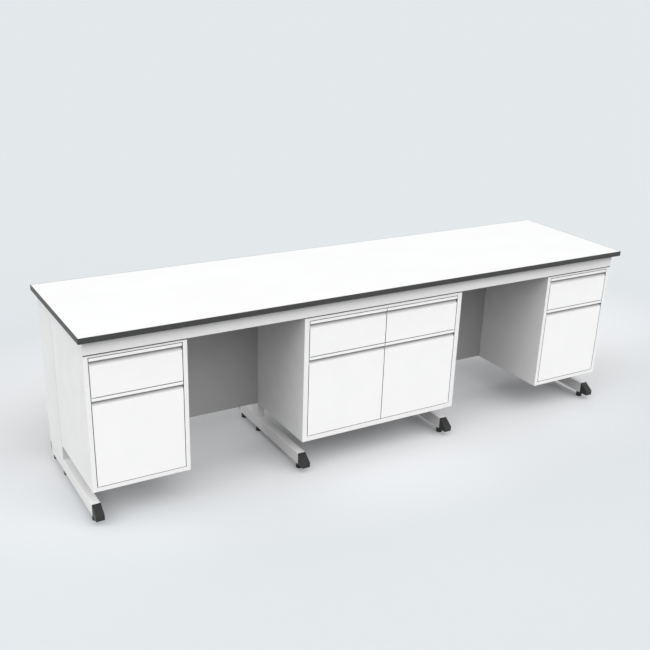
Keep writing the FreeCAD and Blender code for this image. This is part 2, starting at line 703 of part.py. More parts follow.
hangers = []
for x_low, x_high, board in cabinet_spans.values():
    for x in hanger_places(x_low, x_high):
        for y in (front_rail_middle, support_middle):
            hangers.append(hanger(x, y, arm_under - board))
export("cabinet_screws", hangers)
export("worktop_screws", [worktop_screw(x, y) for x, y in worktop_screws])
panel_reach = PANEL_SHEET + BACK_PANEL_CLEARANCE + SHEET_SCREW_BITE - PIN_CLEARANCE
sheet_screws = [sheet_screw(x, post_front, z, panel_reach) for x, z in panel_screws]
for sign in (-1, 1):
    for z in cover_screw_heights:
        sheet_screws.append(sheet_screw(sign * end_frame_x, post_back + COVER_SHEET, z,
                                        COVER_SHEET + SHEET_SCREW_BITE))
export("sheet_screws", sheet_screws)
print(len(os.listdir("parts")), "sub-parts")
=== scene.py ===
import json
import math

import bmesh
import bpy
from mathutils import Matrix, Vector


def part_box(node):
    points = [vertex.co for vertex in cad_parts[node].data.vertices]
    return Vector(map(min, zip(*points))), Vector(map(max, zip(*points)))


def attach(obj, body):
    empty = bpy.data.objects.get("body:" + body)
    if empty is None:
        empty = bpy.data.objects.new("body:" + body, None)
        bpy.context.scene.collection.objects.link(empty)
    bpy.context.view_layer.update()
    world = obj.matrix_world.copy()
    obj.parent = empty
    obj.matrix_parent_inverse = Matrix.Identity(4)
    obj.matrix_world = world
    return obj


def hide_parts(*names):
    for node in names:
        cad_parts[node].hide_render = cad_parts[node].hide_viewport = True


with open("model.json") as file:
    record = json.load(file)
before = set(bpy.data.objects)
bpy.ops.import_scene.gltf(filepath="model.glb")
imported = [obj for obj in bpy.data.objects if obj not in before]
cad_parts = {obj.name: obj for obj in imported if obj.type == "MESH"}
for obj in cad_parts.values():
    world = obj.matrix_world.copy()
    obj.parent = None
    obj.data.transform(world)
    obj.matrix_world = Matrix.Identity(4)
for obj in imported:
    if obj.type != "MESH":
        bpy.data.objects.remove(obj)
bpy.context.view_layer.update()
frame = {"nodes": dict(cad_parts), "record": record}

scene = bpy.context.scene
scene.view_settings.view_transform = "Standard"


# ------------------------------------------------------------------ floor and light
# The bench stands on a seamless pale floor under a wide soft dome. The floor is paler near the
# bench, painted light that lifts the bench's shadow, and fades out to its far tone. The dome glows
# over the
# front, low at the left and the right front, and faintly behind, so that each side of the
# bench comes out in its own tone.
class Value:
    """An output of a node, so that a sum on it adds the nodes of that sum."""

    def __init__(self, nodes, socket):
        self.nodes = nodes
        self.socket = socket

    def maths(self, operation, first, second):
        return self.nodes.add("ShaderNodeMath", {"operation": operation}, {0: first, 1: second})

    def __add__(self, other):
        return self.maths("ADD", self, other)

    def __sub__(self, other):
        return self.maths("SUBTRACT", self, other)

    def __rsub__(self, other):
        return self.maths("SUBTRACT", other, self)

    def __mul__(self, other):
        return self.maths("MULTIPLY", self, other)

    def __pow__(self, other):
        return self.maths("POWER", self, other)

    __radd__ = __add__
    __rmul__ = __mul__

    def above(self, limit):
        return self.maths("MAXIMUM", self, limit)

    def below(self, limit):
        return self.maths("MINIMUM", self, limit)

    def spread(self, low, high, start=0.0, stop=1.0):
        """start where this is at or under low, stop at or over high, and smooth between."""
        return self.nodes.add("ShaderNodeMapRange", {"interpolation_type": "SMOOTHSTEP"},
                              {"Value": self, "From Min": low, "From Max": high,
                               "To Min": start, "To Max": stop})


class Nodes:
    """A node tree, of a finish, of the dome or of a pattern of pieces."""

    def __init__(self, tree):
        self.tree = tree
        tree.nodes.clear()

    def add(self, kind, settings, inputs, output=0):
        """A node of a kind, with its settings and the values or links of its inputs."""
        made = self.tree.nodes.new(kind)
        for name, value in settings.items():
            setattr(made, name, value)
        for name, value in inputs.items():
            if isinstance(value, Value):
                self.tree.links.new(value.socket, made.inputs[name])
            else:
                made.inputs[name].default_value = value
        return Value(self, made.outputs[output]) if made.outputs else None

    def mix(self, factor, first, second):
        """One colour into another by a factor."""
        return self.add("ShaderNodeMix", {"data_type": "RGBA"}, {0: factor, 6: first, 7: second}, 2)

    def seen(self):
        """1 for what is looked at, straight or in a gloss, and 0 for the light that it throws."""
        total = 0.0
        for ray in ("Is Camera Ray", "Is Glossy Ray", "Is Transmission Ray"):
            total = self.add("ShaderNodeLightPath", {}, {}, ray) + total
        return total.below(1.0)


class Finish(Nodes):
    """A material on the piece's own coordinates, in metres."""

    def __init__(self, name):
        self.material = bpy.data.materials.new(name)
        self.material.use_nodes = True
        super().__init__(self.material.node_tree)

    def place(self, axis):
        """The X, Y or Z of a point on the piece."""
        where = self.add("ShaderNodeTexCoord", {}, {}, "Object")
        return self.add("ShaderNodeSeparateXYZ", {}, {0: where}, axis)

    def noise(self, scale, detail=2.0, stretch=(1.0, 1.0, 1.0)):
        """Even noise with about scale spots to the metre, drawn out where stretch is small."""
        where = self.add("ShaderNodeTexCoord", {}, {}, "Object")
        drawn = self.add("ShaderNodeMapping", {}, {"Vector": where, "Scale": stretch})
        return self.add("ShaderNodeTexNoise", {}, {"Vector": drawn, "Scale": scale,
                                                   "Detail": detail})

    def mark(self, name):
        """A mark that a piece carries on its faces, and 0 on a piece without it."""
        return self.add("ShaderNodeAttribute", {"attribute_name": name}, {}, "Fac")

    def surface(self, colour, roughness, height, depth, metallic=0.0):
        """Ends the material; depth is the height of its relief in metres."""
        relief = self.add("ShaderNodeBump", {}, {"Height": height, "Distance": depth})
        shader = self.add("ShaderNodeBsdfPrincipled", {},
                          {"Base Color": colour, "Roughness": roughness, "Metallic": metallic,
                           "Normal": relief})
        self.add("ShaderNodeOutputMaterial", {}, {"Surface": shader})


def grey(tone):
    return (tone, tone, tone, 1.0)


FLOOR_REACH = 400.0
FLOOR_NEAR_LIFTED = (0.700, 0.706, 0.720, 1.0)
FLOOR_FAR = (0.549, 0.573, 0.591, 1.0)
SHADOW_LIFT_CENTRE = (0.35, 0.64)
SHADOW_LIFT_SHRINK = (0.51, 0.89)
SHADOW_LIFT_FADE = (0.2, 2.4)
FLOOR_THROWN = 0.12
HORIZON = (0.780, 0.807, 0.823, 1.0)
GLOW_POWER = 6.0
# Each glow's turn from the front towards the left, its height, and its strength.
GLOWS = ((0.0, 40.0, 2.12), (0.0, 60.0, 0.84), (90.0, 30.0, 3.60), (-50.0, 30.0, 2.24),
         (180.0, 50.0, 0.73))

floor_mesh = bpy.data.meshes.new("floor")
floor_mesh.from_pydata([(x * FLOOR_REACH, y * FLOOR_REACH, 0.0)
                        for x, y in ((-1, -1), (1, -1), (1, 1), (-1, 1))], [], [(0, 1, 2, 3)])
floor = bpy.data.objects.new("floor", floor_mesh)
scene.collection.objects.link(floor)
studio_floor = Finish("studio_floor")
# Painted light: the floor is paler near the bench, where its shadow falls.
along = (studio_floor.place("X") - SHADOW_LIFT_CENTRE[0]) * SHADOW_LIFT_SHRINK[0]
out_from = (studio_floor.place("Y") - SHADOW_LIFT_CENTRE[1]) * SHADOW_LIFT_SHRINK[1]
away = along * along + out_from * out_from
lifted_floor_tone = studio_floor.mix(away.spread(*SHADOW_LIFT_FADE), FLOOR_NEAR_LIFTED, FLOOR_FAR)
floor_paint = studio_floor.mix(studio_floor.seen(), grey(FLOOR_THROWN), lifted_floor_tone)
matt = studio_floor.add("ShaderNodeBsdfDiffuse", {}, {"Color": floor_paint})
studio_floor.add("ShaderNodeOutputMaterial", {}, {"Surface": matt})
floor_mesh.materials.append(studio_floor.material)

world = bpy.data.worlds.new("studio_dome")
world.use_nodes = True
scene.world = world
dome = Nodes(world.node_tree)
sky_place = dome.add("ShaderNodeTexCoord", {}, {}, "Generated")
brightness = 0.0
for turn_degrees, height_degrees, glow in GLOWS:
    turn, height = math.radians(turn_degrees), math.radians(height_degrees)
    towards = (-math.sin(turn) * math.cos(height), -math.cos(turn) * math.cos(height),
               math.sin(height))
    nearness = dome.add("ShaderNodeVectorMath", {"operation": "DOT_PRODUCT"},
                        {0: sky_place, 1: towards}, "Value")
    brightness = nearness.above(0.0) ** GLOW_POWER * glow + brightness
sky = dome.add("ShaderNodeBackground", {},
               {"Color": dome.mix(dome.seen(), brightness, HORIZON), "Strength": 1.0})
dome.add("ShaderNodeOutputWorld", {}, {"Surface": sky})


# ------------------------------------------------------------------ steel frame
# Four C-frames of welded 40 x 60 tube, each a foot rail, a post and an arm, are joined by long
# tubes and coated with a pale grey powder, which cures with a faint orange peel. The welds
# stay visible as rippled beads where the tubes meet at a right angle.
FRAME_TONE = 0.83
PEEL_DEPTH = 0.00005
DUST_HEIGHTS = (0.03, 0.22)
CLOUDED_SHARE = 0.97
DUSTY_SHARE = 0.82
RUBBED_SHARE = 0.75
WELD_RIPPLE = 0.0026
WELD_PITCH = 0.0021
WELD_HALF_RUN = 0.017
WELD_UNEVENNESS = 0.10
INNER_FRAMES = ("inner_frame_left", "inner_frame_right")
END_FRAMES = ("end_frame_left", "end_frame_right")
# Places on the frames, read from the pieces that lie against them.
POST_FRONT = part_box("back_panels")[1][1]
POST_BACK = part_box("service_covers")[0][1]
RAIL_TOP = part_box("toe_caps")[1][2]
ARM_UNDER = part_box("long_rails")[0][2]


def coat(finish, *nodes):
    """Gives CAD nodes a finish in place of their plain one."""
    for node in nodes:
        mesh = frame["nodes"][node].data
        mesh.materials.clear()
        mesh.materials.append(finish.material)


def powder_coat(name, tone):
    """Cured powder: fine orange peel, an uneven tone, and dust low down."""
    finish = Finish(name)
    peel = finish.noise(scale=650.0, detail=1.0)
    cloud = finish.noise(scale=5.0, detail=3.0).spread(0.3, 0.7)
    low_down = finish.place("Z").spread(*DUST_HEIGHTS, start=0.5, stop=0.0)
    dust = low_down * finish.noise(scale=60.0, detail=4.0)
    rubbed = finish.mark("arris") * finish.noise(scale=35.0, detail=5.0).spread(0.5, 0.62)
    clean = finish.mix(cloud, grey(tone), grey(tone * CLOUDED_SHARE))
    dusty = finish.mix(dust, clean, grey(tone * DUSTY_SHARE))
    finish.surface(colour=finish.mix(rubbed, dusty, grey(tone * RUBBED_SHARE)),
                   roughness=cloud * 0.10 + 0.36, height=peel, depth=PEEL_DEPTH)
    return finish


class Pattern(Nodes):
    """A Geometry Nodes tree that sets out copies of a small shape on a plan of points."""

    def __init__(self, name, inputs):
        super().__init__(bpy.data.node_groups.new(name, "GeometryNodeTree"))
        sockets = self.tree.interface
        sockets.new_socket("Plan", in_out="INPUT", socket_type="NodeSocketGeometry")
        for label, kind in inputs.items():
            sockets.new_socket(label, in_out="INPUT", socket_type="NodeSocket" + kind)
        sockets.new_socket("Copies", in_out="OUTPUT", socket_type="NodeSocketGeometry")
        self.given = self.tree.nodes.new("NodeGroupInput")

    def input(self, label):
        return Value(self, self.given.outputs[label])

    def copies(self, points, rotation, size):
        """Ends the tree with a copy of Shape at each point, in Finish."""
        shape = self.add("GeometryNodeObjectInfo", {}, {"Object": self.input("Shape")}, "Geometry")
        placed = self.add("GeometryNodeInstanceOnPoints", {},
                          {"Points": points, "Instance": shape, "Rotation": rotation,
                           "Scale": size})
        real = self.add("GeometryNodeRealizeInstances", {}, {"Geometry": placed})
        ended = self.add("GeometryNodeSetMaterial", {},
                         {"Geometry": real, "Material": self.input("Finish")})
        self.add("NodeGroupOutput", {}, {"Copies": ended})

    def lay(self, name, plan, shape, body, slot, finish, **values):
        """One plain piece of all the copies on a plan, riding on a body."""
        piece = bpy.data.objects.new(name, plan)
        scene.collection.objects.link(piece)
        setting_out = piece.modifiers.new("setting_out", "NODES")
        setting_out.node_group = self.tree
        values.update(Shape=shape, Finish=finish.material)
        for item in self.tree.interface.items_tree:
            if item.in_out == "INPUT" and item.name in values:
                setting_out[item.identifier] = values[item.name]
        whole = piece.evaluated_get(bpy.context.evaluated_depsgraph_get())
        mesh = bpy.data.meshes.new_from_object(whole)
        piece.modifiers.remove(setting_out)
        piece.data = mesh
        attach(piece, body)


def small_shape(name, build):
    """A shape to copy; build fills its bmesh."""
    mesh = bmesh.new()
    build(mesh)
    data = bpy.data.meshes.new(name)
    mesh.to_mesh(data)
    mesh.free()
    shape = bpy.data.objects.new(name, data)
    scene.collection.objects.link(shape)
    return shape


def lines_plan(name, runs, closed=False):
    """A plan of lines, each through a list of points."""
    points = []
    edges = []
    for run in runs:
        first = len(points)
        points += run
        edges += [(first + k, first + k + 1) for k in range(len(run) - 1)]
        if closed:
            edges.append((len(points) - 1, first))
    plan = bpy.data.meshes.new(name)
    plan.from_pydata(points, edges, [])
    return plan


# Sets copies along lines at a pitch, each a little larger or smaller than the last.
bead_pattern = Pattern("copies_along_lines", {"Shape": "Object", "Pitch": "Float",
                                              "Unevenness": "Float", "Seed": "Int",
                                              "Finish": "Material"})
drawn_line = bead_pattern.add("GeometryNodeMeshToCurve", {}, {"Mesh": bead_pattern.input("Plan")})
spaced = bead_pattern.add("GeometryNodeResampleCurve", {"mode": "LENGTH"},
                          {"Curve": drawn_line, "Length": bead_pattern.input("Pitch")})
uneven = bead_pattern.input("Unevenness")
bead_size = bead_pattern.add("FunctionNodeRandomValue", {"data_type": "FLOAT"},
                             {2: 1.0 - uneven, 3: 1.0 + uneven,
                              "Seed": bead_pattern.input("Seed")}, 1)
bead_pattern.copies(spaced, (0.0, 0.0, 0.0), bead_size)

frame_powder = powder_coat("frame_powder", FRAME_TONE)
coat(frame_powder, *INNER_FRAMES, *END_FRAMES, "long_rails", "support_rails")


def middle_of(node):
    """The middle of the node's box."""
    low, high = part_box(node)
    return (Vector(low) + Vector(high)) / 2


def weld_run(node, y, z):
    """The line of a weld across the tubes of a frame."""
    x = middle_of(node).x
    return [(x - WELD_HALF_RUN, y, z), (x + WELD_HALF_RUN, y, z)]


def ripple(mesh):
    bmesh.ops.create_icosphere(mesh, subdivisions=1, radius=WELD_RIPPLE)


welds = [weld_run(node, POST_FRONT, RAIL_TOP) for node in INNER_FRAMES + END_FRAMES]
for node in INNER_FRAMES:
    welds += [weld_run(node, POST_BACK, RAIL_TOP), weld_run(node, POST_BACK, ARM_UNDER)]
ripple_shape = small_shape("weld_ripple", ripple)
bead_pattern.lay("weld_beads", lines_plan("weld_lines", welds), ripple_shape, "bench",
                 "frame_grey", frame_powder, Pitch=WELD_PITCH, Unevenness=WELD_UNEVENNESS,
                 Seed=4)
bpy.data.objects.remove(ripple_shape)


# ------------------------------------------------------------------ caps and levelling feet
# Each foot rail ends in a moulded black wedge at the toe and a black cap at the rear, both
# pressed into the tube. Three turned feet, fluted for the fingers, screw up into the rail.
CAP_TONE = 0.014
CAP_EASING = 0.0014
SCUFF_GAIN = 3.0
GRAIN_DEPTH = 0.00006
MERGE_REACH = 1e-6
FLAT_ANGLE = math.radians(1)
SHARP_ANGLE = math.radians(40)
FOOT_TONE = 0.020
FOOT_RUBBED_TONE = 0.070
FOOT_RADIUS = 0.0150
FLUTES = 20
FLUTE_RADIUS = 0.0010
FLUTE_LOW = 0.0075
FLUTE_HIGH = 0.0225
RING_POINTS = 3 * FLUTES
SHOULDER = 0.0300
THREAD_PITCH = 0.00125
THREAD_DEPTH = 0.0006
THREAD_RUN_IN = 0.0005

body_of = {node: body for body, nodes in frame["record"]["behaviour"]["bodies"].items()
           for node in nodes}


def merged_copy(node):
    """The node's loose triangles joined into closed solids, in a new bmesh."""
    mesh = bmesh.new()
    mesh.from_mesh(frame["nodes"][node].data)
    bmesh.ops.remove_doubles(mesh, verts=mesh.verts, dist=MERGE_REACH)
    return mesh


def solids_of(mesh):
    """The faces of each solid, reached across edges that only two faces share."""
    waiting = dict.fromkeys(mesh.faces)
    solids = []
    while waiting:
        to_visit = [waiting.popitem()[0]]
        solids.append([])
        while to_visit:
            face = to_visit.pop()
            solids[-1].append(face)
            for edge in face.edges:
                for other in edge.link_faces if len(edge.link_faces) == 2 else ():
                    if other in waiting:
                        del waiting[other]
                        to_visit.append(other)
    return solids


def eased(node, radius):
    """The node's solids with their sharp edges rounded, in the node's place."""
    mesh = merged_copy(node)
    for solid in solids_of(mesh):
        bmesh.ops.split(mesh, geom=solid)
    bmesh.ops.dissolve_limit(mesh, angle_limit=FLAT_ANGLE, verts=mesh.verts,
                             edges=mesh.edges)
    arris = mesh.faces.layers.float.new("arris")
    sharp = [edge for edge in mesh.edges
             if len(edge.link_faces) == 2 and edge.calc_face_angle() > SHARP_ANGLE]
    rounded = bmesh.ops.bevel(mesh, geom=sharp, offset=radius, segments=2, profile=0.5,
                              affect="EDGES", clamp_overlap=True)
    for face in rounded["faces"]:
        face[arris] = 1.0
    data = bpy.data.meshes.new(node + "_eased")
    mesh.to_mesh(data)
    mesh.free()
    piece = bpy.data.objects.new(node + "_eased", data)
    scene.collection.objects.link(piece)
    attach(piece, body_of[node])
    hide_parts(node)
    return piece


def finished(finish, radius, *nodes):
    """Rounds the edges of nodes and gives them a finish."""
    pieces = [eased(node, radius) for node in nodes]
    for piece in pieces:
        piece.data.materials.append(finish.material)
    return pieces


def black_moulding(name, tone):
    """Black plastic with a fine grain, paler where it is scuffed and on its edges."""
    finish = Finish(name)
    grain = finish.noise(scale=1400.0, detail=2.0)
    streaks = finish.noise(scale=45.0, detail=5.0, stretch=(1.0, 0.3, 1.0))
    scuff = streaks.spread(0.56, 0.78, stop=0.5)
    patches = finish.noise(scale=60.0, detail=3.0)
    worn = finish.mark("arris") * patches.spread(0.45, 0.65, stop=0.6) + scuff
    finish.surface(colour=finish.mix(worn.below(1.0), grey(tone), grey(tone * SCUFF_GAIN)),
                   roughness=worn * 0.15 + 0.48, height=grain, depth=GRAIN_DEPTH)
    return finish


cap_black = black_moulding("cap_black", CAP_TONE)
finished(cap_black, CAP_EASING, "toe_caps", "rail_rear_caps")

foot_black = Finish("foot_black")
rub = foot_black.noise(scale=90.0, detail=4.0).spread(0.55, 0.75)
rise = foot_black.place("Z")
thread = (rise.maths("PINGPONG", rise, THREAD_PITCH / 2) * (2.0 / THREAD_PITCH)
          * rise.spread(SHOULDER, SHOULDER + THREAD_RUN_IN))
foot_black.surface(colour=foot_black.mix(rub * 0.6, grey(FOOT_TONE), grey(FOOT_RUBBED_TONE)),
                   roughness=rub * 0.18 + 0.42, height=thread, depth=THREAD_DEPTH)


def flute(mesh):
    bmesh.ops.create_cone(mesh, cap_ends=True, segments=8, radius1=FLUTE_RADIUS,
                          radius2=FLUTE_RADIUS, depth=FLUTE_HIGH - FLUTE_LOW,
                          matrix=Matrix.Translation((0.0, 0.0, (FLUTE_HIGH + FLUTE_LOW) / 2)))


flute_shape = small_shape("flute", flute)
ring_turns = [math.tau * k / RING_POINTS for k in range(RING_POINTS)]
for node in [name for name in frame["nodes"] if name.startswith("foot_")]:
    coat(foot_black, node)
    foot = middle_of(node)
    ring = [(foot.x + FOOT_RADIUS * math.cos(turn), foot.y + FOOT_RADIUS * math.sin(turn), 0.0)
            for turn in ring_turns]
    bead_pattern.lay(node + "_flutes", lines_plan(node + "_ring", [ring], closed=True),
                     flute_shape, body_of[node], "foot_black", foot_black,
                     Pitch=math.tau * FOOT_RADIUS / FLUTES, Unevenness=0.0, Seed=1)
bpy.data.objects.remove(flute_shape)


# ------------------------------------------------------------------ sheet panels
# Powder-coated sheet: the white fascia over the front rail, a panel across the back of each
# knee space in mid grey, which is painted shade, and a folded white cover at each end of the
# service void. A black strip under the fascia along each cabinet is a painted shadow line.
SHEET_TONE = 0.84
BACK_PANEL_SHADE_TONE = 0.37
SHEET_EASING = 0.0004
SHADOW_STRIP_HEIGHT = 0.0048
SHADOW_STRIP_PLAY = 0.0001
SHADOW_STRIP_EASING = 0.0006
CABINET_SIDES = ("left_cabinet_sides", "centre_cabinet_sides", "right_cabinet_sides")
RECESS_SHADE_TONE = 0.030
RECESS_DEPTH = 0.0004
RECESS_WIDTH = 0.0011
SECOND_ARM_SHARE = 0.9
SHEET_RECESS = 0.0024

sheet_powder = powder_coat("sheet_powder", SHEET_TONE)
coat(sheet_powder, "service_covers")
# The back panels are coated mid grey, painted shade of the deep knee space.
coat(powder_coat("back_panel_powder", BACK_PANEL_SHADE_TONE), "back_panels")
finished(sheet_powder, SHEET_EASING, "front_fascia")


def boxes(name, finish, spans, body, easing):
    """One piece of eased boxes, each given by two opposite corners."""
    mesh = bmesh.new()
    for low, high in spans:
        low, high = Vector(low), Vector(high)
        bmesh.ops.create_cube(mesh, size=1.0, matrix=Matrix.Translation((low + high) / 2)
                              @ Matrix.Diagonal(high - low).to_4x4())
    bmesh.ops.bevel(mesh, geom=mesh.edges[:], offset=easing, segments=2, profile=0.5,
                    affect="EDGES")
    data = bpy.data.meshes.new(name)
    mesh.to_mesh(data)
    mesh.free()
    piece = bpy.data.objects.new(name, data)
    scene.collection.objects.link(piece)
    piece.data.materials.append(finish.material)
    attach(piece, body)


fascia_low, fascia_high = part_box("front_fascia")
# Painted shadow: a black strip along the foot of the fascia over each cabinet, where its shadow
# line falls.
boxes("fascia_seals", cap_black,
      [((low[0], fascia_high[1] + SHADOW_STRIP_PLAY, fascia_low[2] - SHADOW_STRIP_HEIGHT),
        (high[0], low[1], fascia_low[2])) for low, high in map(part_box, CABINET_SIDES)],
      "bench", SHADOW_STRIP_EASING)

# Sets a copy at each point, with its Z axis on the point's facing and a turn of its own.
spot_pattern = Pattern("copies_at_points", {"Shape": "Object", "Turn": "Float", "Seed": "Int",
                                            "Finish": "Material"})
facing = spot_pattern.add("GeometryNodeInputNamedAttribute", {"data_type": "FLOAT_VECTOR"},
                          {"Name": "facing"})
aligned = spot_pattern.add("FunctionNodeAlignRotationToVector", {"axis": "Z"},
                           {"Vector": facing})
own_turn = spot_pattern.add("FunctionNodeRandomValue", {"data_type": "FLOAT"},
                            {2: 0.0, 3: spot_pattern.input("Turn"),
                             "Seed": spot_pattern.input("Seed")}, 1)
twist = spot_pattern.add("FunctionNodeAxisAngleToRotation", {},
                         {"Axis": (0.0, 0.0, 1.0), "Angle": own_turn})
set_round = spot_pattern.add("FunctionNodeRotateRotation", {"rotation_space": "LOCAL"},
                             {"Rotation": aligned, "Rotate By": twist})
spot_pattern.copies(spot_pattern.input("Plan"), set_round, (1.0, 1.0, 1.0))


def spots_plan(name, spots):
    """A plan of points, each with the way that it faces."""
    plan = bpy.data.meshes.new(name)
    plan.from_pydata([point for point, way in spots], [], [])
    ways = plan.attributes.new("facing", "FLOAT_VECTOR", "POINT")
    for item, (point, way) in zip(ways.data, spots):
        item.vector = way
    return plan


def head_spots(node, axis):
    """The middle of the face of each screw head of the node, and the way that it faces."""
    mesh = merged_copy(node)
    spots = []
    for solid in solids_of(mesh):
        screw = [vertex.co for face in solid for vertex in face.verts]
        middle = Vector([(min(point[k] for point in screw) + max(point[k] for point in screw)) / 2
                         for k in range(3)])
        # The head is the widest part, so a point on its rim tells which end it is at.
        rim = max(screw, key=lambda point: point[(axis + 1) % 3])
        way = Vector((0.0, 0.0, 0.0))
        way[axis] = math.copysign(1.0, rim[axis] - middle[axis])
        middle[axis] = way[axis] * max(way[axis] * point[axis] for point in screw)
        spots.append((middle, way))
    mesh.free()
    return sorted(spots, key=lambda spot: tuple(spot[0]))


# Painted shade: the recesses of the zinc screw heads are drawn as black crosses.
recess_shade_black = black_moulding("driver_recess", RECESS_SHADE_TONE)


def recesses(name, reach, spots, body, seed):
    """Black crosses on screw heads, painted shade of their recesses; reach: middle to arm end.

    The second arm is less deep, so that no two faces lie in one plane.
    """
    def cross(mesh):
        for size in ((2 * reach, RECESS_WIDTH, RECESS_DEPTH),
                     (RECESS_WIDTH, 2 * reach, RECESS_DEPTH * SECOND_ARM_SHARE)):
            bmesh.ops.create_cube(mesh, size=1.0, matrix=Matrix.Diagonal(size).to_4x4())

    shape = small_shape("recess", cross)
    spot_pattern.lay(name, spots_plan(name + "_plan", spots), shape, body, "screw_zinc",
                     recess_shade_black, Turn=math.tau, Seed=seed)
    bpy.data.objects.remove(shape)


recesses("sheet_screw_recesses", SHEET_RECESS, head_spots("sheet_screws", 1), "bench", seed=7)


# ------------------------------------------------------------------ cabinets
# Carcasses of white melamine-faced board, doweled and glued, their front edges banded in a
# glossier white. Two rows of black bushes for the shelf pins are let into each inner wall. The
# inner faces beside the fronts are painted grey, painted shade in the gaps. Screws hang the
# cabinets from the rails.
BOARD_EASING = 0.0004
FRONT_PLANE, FRONTS_BACK = [corner[1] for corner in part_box("door_left")]
PIN_ROWS = (-0.2350, 0.1015)
PIN_LEVEL = middle_of("shelf_pins").z
PIN_PITCH = 0.032
# The shelf's own pins fill the holes of step 0.
PIN_STEPS = (-4, -3, -2, -1, 1, 2, 3, 4, 5)
BUSH_RADIUS = 0.0026
BUSH_STEP = 0.0001
HANGER_RECESS = 0.0036
MELAMINE_TONE = 0.85
MELAMINE_HAZE_TONE = 0.825
BANDING_TONE = 0.875
BANDING_THICKNESS = 0.0004
SKIN = 0.0001
CHIP_COLOUR = (0.55, 0.50, 0.43, 1.0)
GAP_SHADE_TONE = 0.30
GAP_SHADE_START = 0.0006
GAP_SHADE_FADE = 0.001
PEBBLE_DEPTH = 0.00003
FACING = 0.5

melamine = Finish("white_melamine")
pebble = melamine.noise(scale=1100.0, detail=2.0)
sheen = melamine.noise(scale=9.0, detail=3.0).spread(0.3, 0.7)
inwards = melamine.place("Y")
banded = inwards.spread(FRONT_PLANE + SKIN, FRONT_PLANE + BANDING_THICKNESS, start=1.0, stop=0.0)
# Painted shade: the inward faces turn grey between the face of the fronts and their back.
gap_shade = (melamine.mark("inward")
          * inwards.spread(FRONT_PLANE + SKIN, FRONT_PLANE + GAP_SHADE_START)
          * inwards.spread(FRONTS_BACK - GAP_SHADE_FADE, FRONTS_BACK, start=1.0, stop=0.0))
chipped = melamine.mark("arris") * melamine.noise(scale=40.0, detail=5.0).spread(0.62, 0.66)
hazed_board = melamine.mix(sheen, grey(MELAMINE_TONE), grey(MELAMINE_HAZE_TONE))
board = melamine.mix(banded, hazed_board, grey(BANDING_TONE))
worn_board = melamine.mix(chipped * 0.6, board, CHIP_COLOUR)
melamine.surface(colour=melamine.mix(gap_shade, worn_board, grey(GAP_SHADE_TONE)),
                 roughness=sheen * 0.12 + 0.40 - banded * 0.16, height=pebble,
                 depth=PEBBLE_DEPTH)
cabinet_middles = [middle_of(node) for node in CABINET_SIDES]
for piece in finished(melamine, BOARD_EASING,
                      *[node for node in frame["nodes"] if "_cabinet_" in node]):
    # Marks the faces that look into their cabinet, painted grey beside the fronts as painted shade.
    inward = piece.data.attributes.new("inward", "FLOAT", "FACE")
    for face, mark in zip(piece.data.polygons, inward.data):
        nearest = min(cabinet_middles, key=lambda middle: abs(middle.x - face.center.x))
        to_middle = Vector((nearest.x, face.center.y, nearest.z)) - face.center
        if abs(face.normal.y) < FACING and face.normal.dot(to_middle) > 0.0:
            mark.value = 1.0


def pin_bush(mesh):
    bmesh.ops.create_cone(mesh, cap_ends=True, segments=14, radius1=BUSH_RADIUS,
                          radius2=BUSH_RADIUS, depth=2 * BUSH_STEP)


def width_of(node):
    """The lowest and the highest X of the node's box."""
    return [corner[0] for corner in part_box(node)]


bush_shape = small_shape("pin_bush", pin_bush)
outer_left, outer_right = width_of("centre_cabinet_bottom")
partition_left, partition_right = width_of("centre_cabinet_partition")
compartments = (width_of("left_cabinet_bottom"), (outer_left, partition_left),
                (partition_right, outer_right), width_of("right_cabinet_bottom"))
bush_spots = [((x, y, PIN_LEVEL + step * PIN_PITCH), (way, 0.0, 0.0))
              for low, high in compartments for x, way in ((low, 1.0), (high, -1.0))
              for y in PIN_ROWS for step in PIN_STEPS]
spot_pattern.lay("shelf_pin_bushes", spots_plan("pin_bush_plan", bush_spots), bush_shape,
                 "bench", "black_plastic", cap_black, Turn=0.0, Seed=1)
bpy.data.objects.remove(bush_shape)
recesses("hanger_screw_recesses", HANGER_RECESS, head_spots("cabinet_screws", 2), "bench",
         seed=11)


# ------------------------------------------------------------------ runners and pivots
# Pressed channels carry the drawers, and plates with pins carry the doors, all of steel in
# bright zinc plate. The catches that stop the doors are moulded in pale grey plastic.
CATCH_LOW = 0.524
CATCH_HIGH = 0.576
CATCH_FADE = 0.001
CATCH_TONE = 0.55
ZINC_BRIGHT = (0.60, 0.61, 0.63, 1.0)
ZINC_DULL = (0.50, 0.51, 0.53, 1.0)
ZINC_METALLIC = 0.95
ZINC_LINES_DEPTH = 0.00001

zinc = Finish("zinc_plate")
spangle = zinc.noise(scale=220.0, detail=2.0).spread(0.35, 0.65)
drawn_lines = zinc.noise(scale=900.0, detail=2.0, stretch=(1.0, 0.02, 1.0))
above_floor = zinc.place("Z")
moulded = (above_floor.spread(CATCH_LOW - CATCH_FADE, CATCH_LOW)
           * above_floor.spread(CATCH_HIGH, CATCH_HIGH + CATCH_FADE, start=1.0, stop=0.0))
plate = zinc.mix(spangle, ZINC_BRIGHT, ZINC_DULL)
zinc.surface(colour=zinc.mix(moulded, plate, grey(CATCH_TONE)),
             roughness=spangle * 0.14 + 0.28 + moulded * 0.15, height=drawn_lines,
             depth=ZINC_LINES_DEPTH, metallic=ZINC_METALLIC - moulded * ZINC_METALLIC)
coat(zinc, "drawer_runners", "door_pivots_and_catches", "cabinet_screws", "worktop_screws",
     "sheet_screws", "shelf_pins")


